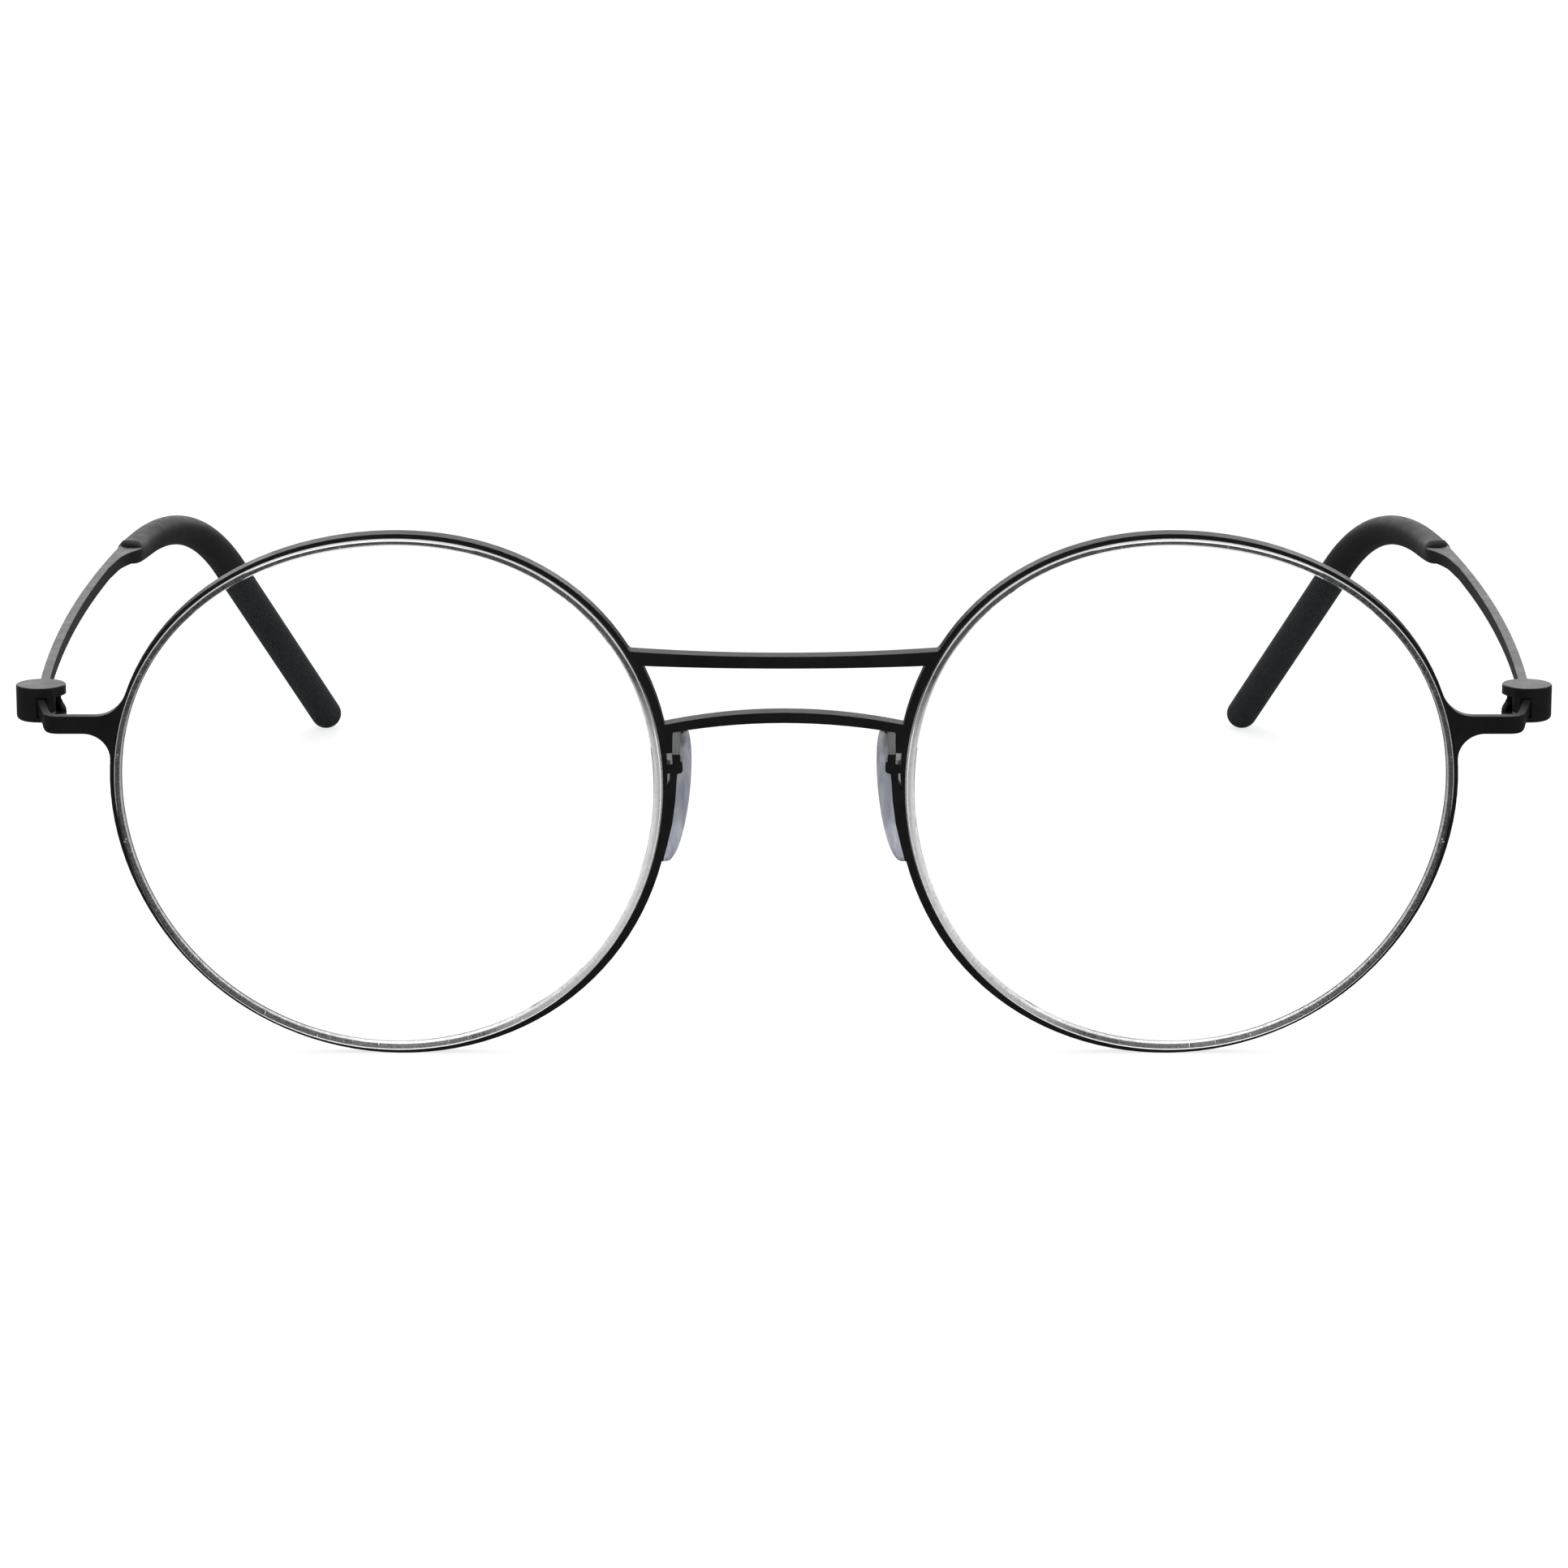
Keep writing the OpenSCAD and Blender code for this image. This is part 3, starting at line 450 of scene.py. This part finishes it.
def makeLens(side):
    mirror = -1 if side == "right" else 1
    curve = lens["curve"]
    crown = lens["proud"] + curve - math.sqrt(curve ** 2 - (lens["radius"] - lens["frontFlat"]) ** 2)
    backCurve = curve - lens["thick"]
    backCrown = lens["proud"] - lens["thick"] + backCurve \
        - math.sqrt(backCurve ** 2 - (lens["radius"] - lens["backFlat"]) ** 2)
    rings, zones = [], []

    def push(ring, zone):
        if rings:
            zones.append(lensZones.index(zone))
        rings.append(ring)

    def between(start, end, parts, zone, shift=(0, 0)):
        for i in range(1, parts + 1):
            t = i / parts
            inset, out = (a + (b - a) * t for a, b in zip(start, end))
            push(moved(lensRing(inset, out), shift, t), zone)

    front = moved(lensRing(lensEdge["front"], 0), lensEdge["lipShift"])
    for size in lens["faceRings"] + (1.0,):
        push(onSphere(front, size, curve, crown), "lensFace")
    lipInset = lensEdge["polishEnd"][0]
    push(moved(lensRing(*lensEdge["polishEnd"]), lensEdge["lipShift"]), "lensPolish")
    for out in lensEdge["lip"]:
        push(moved(lensRing(lipInset, out), lensEdge["lipShift"]), "lensLip")
    # the lip lies on the rim's face where it reaches over it
    ridge = lensEdge["ridge"]
    neck = lensRing(*ridge[0])
    under = []
    for (x, y, _), (neckX, neckY, _) in zip(rings[-1], neck):
        over = math.hypot(x, y) - math.hypot(neckX, neckY)
        part = 1 - min(lensEdge["overMost"], max(0.0, over)) / math.hypot(x, y)
        under.append((x * part, y * part, lensEdge["overOut"]))
    push(under, "lensGround")
    push(neck, "lensGround")
    for start, end, parts in zip(ridge, ridge[1:], lensEdge["ridgeParts"]):
        between(start, end, parts, "lensGround")
    inset, out = ridge[-1]
    bevelEnd = (inset - lensEdge["bevel"][0], out - lensEdge["bevel"][1])
    between(ridge[-1], bevelEnd, lensEdge["bevelParts"], "lensGround", lensEdge["rearShift"])
    back = moved(lensRing(lensEdge["back"], 0), lensEdge["rearShift"])
    push(onSphere(back, 1.0, backCurve, backCrown), "lensRear")
    for size in reversed(lens["faceRings"]):
        push(onSphere(back, size, backCurve, backCrown), "lensFace")
    placed = [[placeOnFront(mirror * (lens["across"] - x), y - lens["drop"], z) for x, y, z in ring]
              for ring in rings]
    piece = buildMesh(side + "_lens_ground", "front", placed, lensZones, zones)
    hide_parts(side + "_lens")


for side in ("right", "left"):
    makeLens(side)
print("lenses made")

# Ear sleeve, in mm and degrees from the front's reference line: the curve from the mouth to the straight end
sleeve = {"mouth": (-67.75, 74.3, 7.47782), "mouthSlope": 5.2 / 68.5, "bend": (8.1, 25.9, -7.07), "slope": 42.2,
          "turn": 21.4, "length": 32.6, "wide": 3.4, "high": 3.3, "gripStart": 0.41, "gripEnd": 0.51,
          "longer": 1.03, "sample": 0.001, "hang": 0.85, "taper": 0.15, "around": 64, "bendRings": 48,
          "bendStart": 0.03, "bendPower": 1.25, "tipRings": 8,
          "domeTurns": (12, 24, 36, 47, 57, 66, 74, 81, 86)}

# Its mouth, also in mm: four half-axes, the runs in which they grow to the sleeve's own, and the slanted lip
mouth = {"inner": 1.88, "outer": 0.62, "up": 1.47, "down": 0.45, "upRun": 4.0, "downRun": 6.5, "innerRun": 7.0,
         "outerRun": 3.2, "lessHang": 0.65, "boxy": 0.6, "hole": (0.3, 0.3), "lipRings": 9, "lipTurn": 10,
         "lipSmall": 0.6, "lipRound": 0.8, "lead": 1.5, "leadInner": 0.3, "leadUnder": 2.4, "leadPower": 1.5,
         "leadFade": 0.3}


def sleevePath():
    start = Vector(sleeve["mouth"])
    way = Vector((sleeve["mouthSlope"], 1, 0)).normalized()
    run = sleeve["bend"][1]
    end = start + Vector(sleeve["bend"])
    slope, turn = math.radians(sleeve["slope"]), math.radians(sleeve["turn"])
    tipWay = Vector((math.cos(slope) * math.sin(turn), math.cos(slope) * math.cos(turn), -math.sin(slope)))
    c1 = start + way * run * sleeve["gripStart"]
    c2 = end - tipWay * run * sleeve["gripEnd"]

    def point(t):
        return (1 - t) ** 3 * start + 3 * (1 - t) ** 2 * t * c1 + 3 * (1 - t) * t * t * c2 + t ** 3 * end

    return start, end, tipWay, point


def axes(way):
    aside = way.cross(Vector((0, 0, 1))).normalized()
    return aside, aside.cross(way)


def turnsAround():
    return [2 * math.pi * j / sleeve["around"] for j in range(sleeve["around"])]


def tipRing(at, way, size=1.0):
    aside, up = axes(way)
    wideHalf, highHalf = sleeve["wide"] / 2 * size, sleeve["high"] / 2 * size
    return [at + aside * wideHalf * math.cos(a) + up * highHalf * math.sin(a) for a in turnsAround()]


def slanted(ring, reach):
    # the mouth reaches further forward on the inner side and most underneath
    shifted = []
    for a, p in zip(turnsAround(), ring):
        inner = 1 + math.cos(a)
        under = max(0.0, -math.sin(a)) ** mouth["leadPower"]
        lead = mouth["lead"] + mouth["leadInner"] * inner + mouth["leadUnder"] * under * inner / 2
        shifted.append(p - Vector((sleeve["mouthSlope"], 1, 0)) * lead * reach)
    return shifted


def makeSleeve(side):
    mirror = 1 if side == "right" else -1
    start, end, tipWay, point = sleevePath()
    long = (end - start).length * sleeve["longer"]

    def near(t, run):
        return 1 - math.sin(math.pi / 2 * min(1, t * long / mouth[run]))

    def section(t, part=1.0, back=0.0):
        way = (point(t + sleeve["sample"]) - point(max(0, t - sleeve["sample"]))).normalized()
        aside, up = axes(way)
        mouthShare = near(t, "upRun")
        full = 1 - sleeve["taper"] * (1 - t)
        halves = {"inner": sleeve["wide"] / 2 * full, "up": sleeve["high"] / 2 * full}
        halves.update(outer=halves["inner"], down=halves["up"])
        reach = {name: half + (mouth[name] - half) * near(t, name + "Run") for name, half in halves.items()}
        sag = sleeve["hang"] * (1 - mouth["lessHang"] * mouthShare) * (1 - t) ** 2 * (1 + 2 * t)
        at = point(t) - Vector((0, 0, sag)) + way * back
        ring = []
        for a in turnsAround():
            c, h = math.cos(a), math.sin(a)
            bow = 1 - mouth["boxy"] * mouthShare if c > 0 else 1.0
            across = reach["inner"] if c > 0 else reach["outer"] * part
            tall = (reach["up"] if h > 0 else reach["down"]) * part
            ring.append(at + aside * math.copysign(across * abs(c) ** bow, c)
                        + up * math.copysign(tall * abs(h) ** bow, h))
        return ring

    rings = [slanted(section(0, *mouth["hole"]), 1.0)]
    for i in range(mouth["lipRings"]):
        angle = math.radians(mouth["lipTurn"] * i)
        size = mouth["lipSmall"] + (1 - mouth["lipSmall"]) * math.sin(angle)
        rings.append(slanted(section(0, size, mouth["lipRound"] * (1 - math.cos(angle))), 1.0))
    for i in range(1, sleeve["bendRings"] + 1):
        t = (i / sleeve["bendRings"]) ** sleeve["bendPower"] * (1 - sleeve["bendStart"]) + sleeve["bendStart"]
        rings.append(slanted(section(t), max(0.0, 1 - t / mouth["leadFade"]) ** mouth["leadPower"]))
    dome = sleeve["high"] / 2
    tip = tipWay * (sleeve["length"] - dome)
    for i in range(1, sleeve["tipRings"] + 1):
        rings.append(tipRing(end + tip * i / sleeve["tipRings"], tipWay))
    for turn in sleeve["domeTurns"]:
        angle = math.radians(turn)
        rings.append(tipRing(end + tip + tipWay * dome * math.sin(angle), tipWay, math.cos(angle)))
    placed = [[place(mirror * p.x, p.y, p.z) for p in ring] for ring in rings]
    piece = buildMesh(side + "_ear_sleeve_rubber", side + "_side", placed, ("rubber",))
    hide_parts(side + "_ear_sleeve")


# Widened end of the strip, flush with it and sunk into the sleeve, in mm from the front's reference line.
# Each row is a depth with the place of the strip's outer side, the place of the inner edge and the top there.
flare = {"rows": ((58.5, -69.09, -68.3, 8.09), (60.5, -69.01, -68.18, 8.104), (62.0, -68.94, -68.03, 8.104),
                  (63.5, -68.86, -67.86, 8.104), (65.2, -68.77, -67.7, 8.104), (66.5, -68.69, -67.55, 8.104),
                  (67.5, -68.63, -67.33, 8.104), (68.5, -68.57, -67.04, 8.104), (69.4, -68.51, -66.73, 8.104),
                  (70.2, -68.46, -66.38, 8.104), (70.9, -68.41, -66.1, 8.1), (71.6, -68.36, -65.97, 8.09),
                  (72.3, -68.3, -65.96, 8.0), (73.2, -68.2, -66.05, 7.7), (74.4, -68.0, -66.3, 7.4)),
         "under": 6.87, "dip": 0.3, "dipStart": 69.6, "belly": 0.1, "bellyStart": 68.5, "growRun": 3,
         "corner": 0.08, "cornerLeast": 0.01, "cornerStart": 61, "cornerGrowth": 0.02, "underBow": 0.02,
         "edgePower": 0.6, "edgeTurns": range(90, -91, -15)}


def grown(y, start):
    return max(0.0, min(1.0, (y - start) / flare["growRun"]))


def makeFlare(side):
    mirror = 1 if side == "right" else -1
    rings = []
    for y, line, edge, high in flare["rows"]:
        low = flare["under"] - flare["dip"] * grown(y, flare["dipStart"])
        belly = flare["belly"] * grown(y, flare["bellyStart"])
        corner = flare["cornerLeast"] + max(0.0, y - flare["cornerStart"]) * flare["cornerGrowth"]
        corner = min(flare["corner"], corner)
        middle, half = (high + low) / 2, (high - low) / 2
        ring = [(line, high), ((line + edge) / 2, high), (edge - corner, high)]
        for turn in flare["edgeTurns"]:
            a = math.radians(turn)
            bow = (corner + belly) * abs(math.cos(a)) ** flare["edgePower"]
            ring.append((edge - corner + bow, middle + half * math.sin(a)))
        ring += [(edge - corner, low), ((line + edge) / 2, low - flare["underBow"]), (line, low)]
        rings.append([place(mirror * x, y, z) for x, z in ring])
    piece = buildMesh(side + "_temple_flare", side + "_side", rings, ("coating",))


for side in ("right", "left"):
    makeSleeve(side)
    makeFlare(side)
print("ear sleeves made")

# Nose pad, in mm and degrees from the front's reference line
pad = {"long": 13.0, "wide": 6.1, "thick": 2.4, "x": 10.3363, "y": 6.6, "z": -2.4, "splay": 22.0, "flare": 8.0,
       "narrowing": 0.1, "cushion": 0.3, "flatter": 0.85, "endTurn": 3, "rings": 40, "around": 48}


def makePad(side):
    mirror = 1 if side == "right" else -1
    flared = Matrix.Rotation(math.radians(pad["flare"]), 3, "Y")
    turn = flared @ Matrix.Rotation(math.radians(pad["splay"]), 3, "Z")
    centre = Vector((-pad["x"], pad["y"], pad["z"]))
    rings = []
    for i in range(pad["rings"] + 1):
        s = math.cos(math.radians(pad["endTurn"] + (180 - 2 * pad["endTurn"]) * i / pad["rings"]))
        halfWide = pad["wide"] / 2 * math.sqrt(1 - s * s) * (1 - pad["narrowing"] * s)
        halfThick = pad["thick"] / 2 * (1 - s * s) ** pad["cushion"]
        ring = []
        for j in range(pad["around"]):
            a = 2 * math.pi * j / pad["around"]
            thick = halfThick * math.cos(a) * (1 if math.cos(a) > 0 else pad["flatter"])
            p = centre + turn @ Vector((thick, halfWide * math.sin(a), pad["long"] / 2 * s))
            ring.append(place(mirror * p.x, p.y, p.z))
        rings.append(ring)
    piece = buildMesh(side + "_nose_pad_soft", "front", rings, ("silicone",))
    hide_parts(side + "_nose_pad")


for side in ("right", "left"):
    makePad(side)
print("nose pads made")


def dress(name, finish):
    nodes[name].data.materials.clear()
    nodes[name].data.materials.append(finishes[finish])


dress("front_frame", "coating")
for side in ("right", "left"):
    dress(side + "_temple", "coating")
    dress(side + "_hinge_plate", "coating")
    dress(side + "_hinge_pin", "steel")
    for part in ("_pad_insert", "_hinge_bush", "_upper_washer", "_lower_washer"):
        dress(side + part, "nylon")
print("frame nodes dressed")

# Studio in metres: a white sweep, a soft sky that mirrors darker low down and behind the camera, and three soft
# boxes, each with its place, size and power
studio = {"floor": 0.28, "shade": 0.1, "glow": 0.74, "mirror": 0.08, "floorSize": 6.0, "floorCells": 8,
          "floorDrop": 0.00002, "sky": 0.95, "horizon": 0.1, "horizonRange": (0.08, 0.5), "front": 0.12,
          "frontRange": (-0.5, 0.1), "aim": (0, 0, 0.02),
          "boxes": {"back soft box": ((0, 1.27, 0.4), (1.6, 0.3), 4.8),
                    "top soft box": ((-0.2, 0.1, 1.1), (0.9, 0.7), 4.0),
                    "side soft box": ((0.9, -0.6, 0.9), (0.5, 0.5), 1.2)}}


def shownRays(s):
    # what the camera sees, also through the lenses, and what only shiny surfaces mirror
    camera, glossy, transmitted = (s.add("LightPath", out=name) for name in
                                   ("Is Camera Ray", "Is Glossy Ray", "Is Transmission Ray"))
    seen = camera.math("MAXIMUM", transmitted)
    return seen, glossy * (1 - seen)


def makeFloor():
    s = Shader("white sweep")
    seen, mirrored = shownRays(s)
    paint = s.add("BsdfDiffuse", None, {"Color": s.mix(mirrored, grey(studio["floor"]), grey(studio["shade"]))})
    strength = (seen + mirrored * studio["mirror"]) * studio["glow"]
    glow = s.add("Emission", None, {"Color": grey(1.0), "Strength": strength})
    material = s.finish(s.add("AddShader", None, {0: paint, 1: glow}))
    mesh = bpy.data.meshes.new("floor")
    bm = bmesh.new()
    bmesh.ops.create_grid(bm, x_segments=studio["floorCells"], y_segments=studio["floorCells"],
                          size=studio["floorSize"])
    bm.to_mesh(mesh)
    bm.free()
    floor = bpy.data.objects.new("floor", mesh)
    floor.location = (0, 0, -studio["floorDrop"])
    bpy.context.scene.collection.objects.link(floor)
    mesh.materials.append(material)


def makeSky():
    world = bpy.data.worlds.new("studio sky")
    bpy.context.scene.world = world
    world.use_nodes = True
    s = Shader("sky", world.node_tree)
    seen, mirrored = shownRays(s)
    way = s.add("TexCoord")
    dim = s.spread(s.split(way, 2), *studio["horizonRange"], studio["horizon"], 1.0) \
        * s.spread(s.split(way, 1), *studio["frontRange"], studio["front"], 1.0)
    strength = seen + (1 - seen) * (mirrored * dim + (1 - mirrored) * studio["sky"])
    background = s.add("Background", None, {"Color": grey(1.0), "Strength": strength})
    s.add("OutputWorld", None, {"Surface": background})


def addLamp(name, position, size, power):
    light = bpy.data.lights.new(name, "AREA")
    light.shape = "RECTANGLE"
    light.size, light.size_y = size
    light.energy = power
    lamp = bpy.data.objects.new(name, light)
    lamp.location = position
    lamp.rotation_euler = (Vector(studio["aim"]) - Vector(position)).to_track_quat("-Z", "Y").to_euler()
    lamp.visible_camera = False
    lamp.visible_transmission = False
    bpy.context.scene.collection.objects.link(lamp)


makeFloor()
makeSky()
for name, values in studio["boxes"].items():
    addLamp(name, *values)
print("studio made")

# Camera: aimed at the middle of the front's reference line, 540 mm away and 15.4 degrees up
view = {"distance": 0.54, "elevation": 13.2 + stand["lean"], "lens": 135.94, "sensor": 36, "clip": 0.01}


def makeCamera():
    data = bpy.data.cameras.new("camera")
    data.sensor_width = view["sensor"]
    data.lens = view["lens"]
    data.clip_start = view["clip"]
    camera = bpy.data.objects.new("camera", data)
    up = math.radians(view["elevation"])
    camera.location = place(0, 0, 0) + Vector((0, -math.cos(up), math.sin(up))) * view["distance"]
    camera.rotation_euler = (math.radians(90) - up, 0, 0)
    bpy.context.scene.collection.objects.link(camera)
    bpy.context.scene.camera = camera


makeCamera()
print("camera placed")

bpy.context.scene.view_settings.view_transform = "Standard"
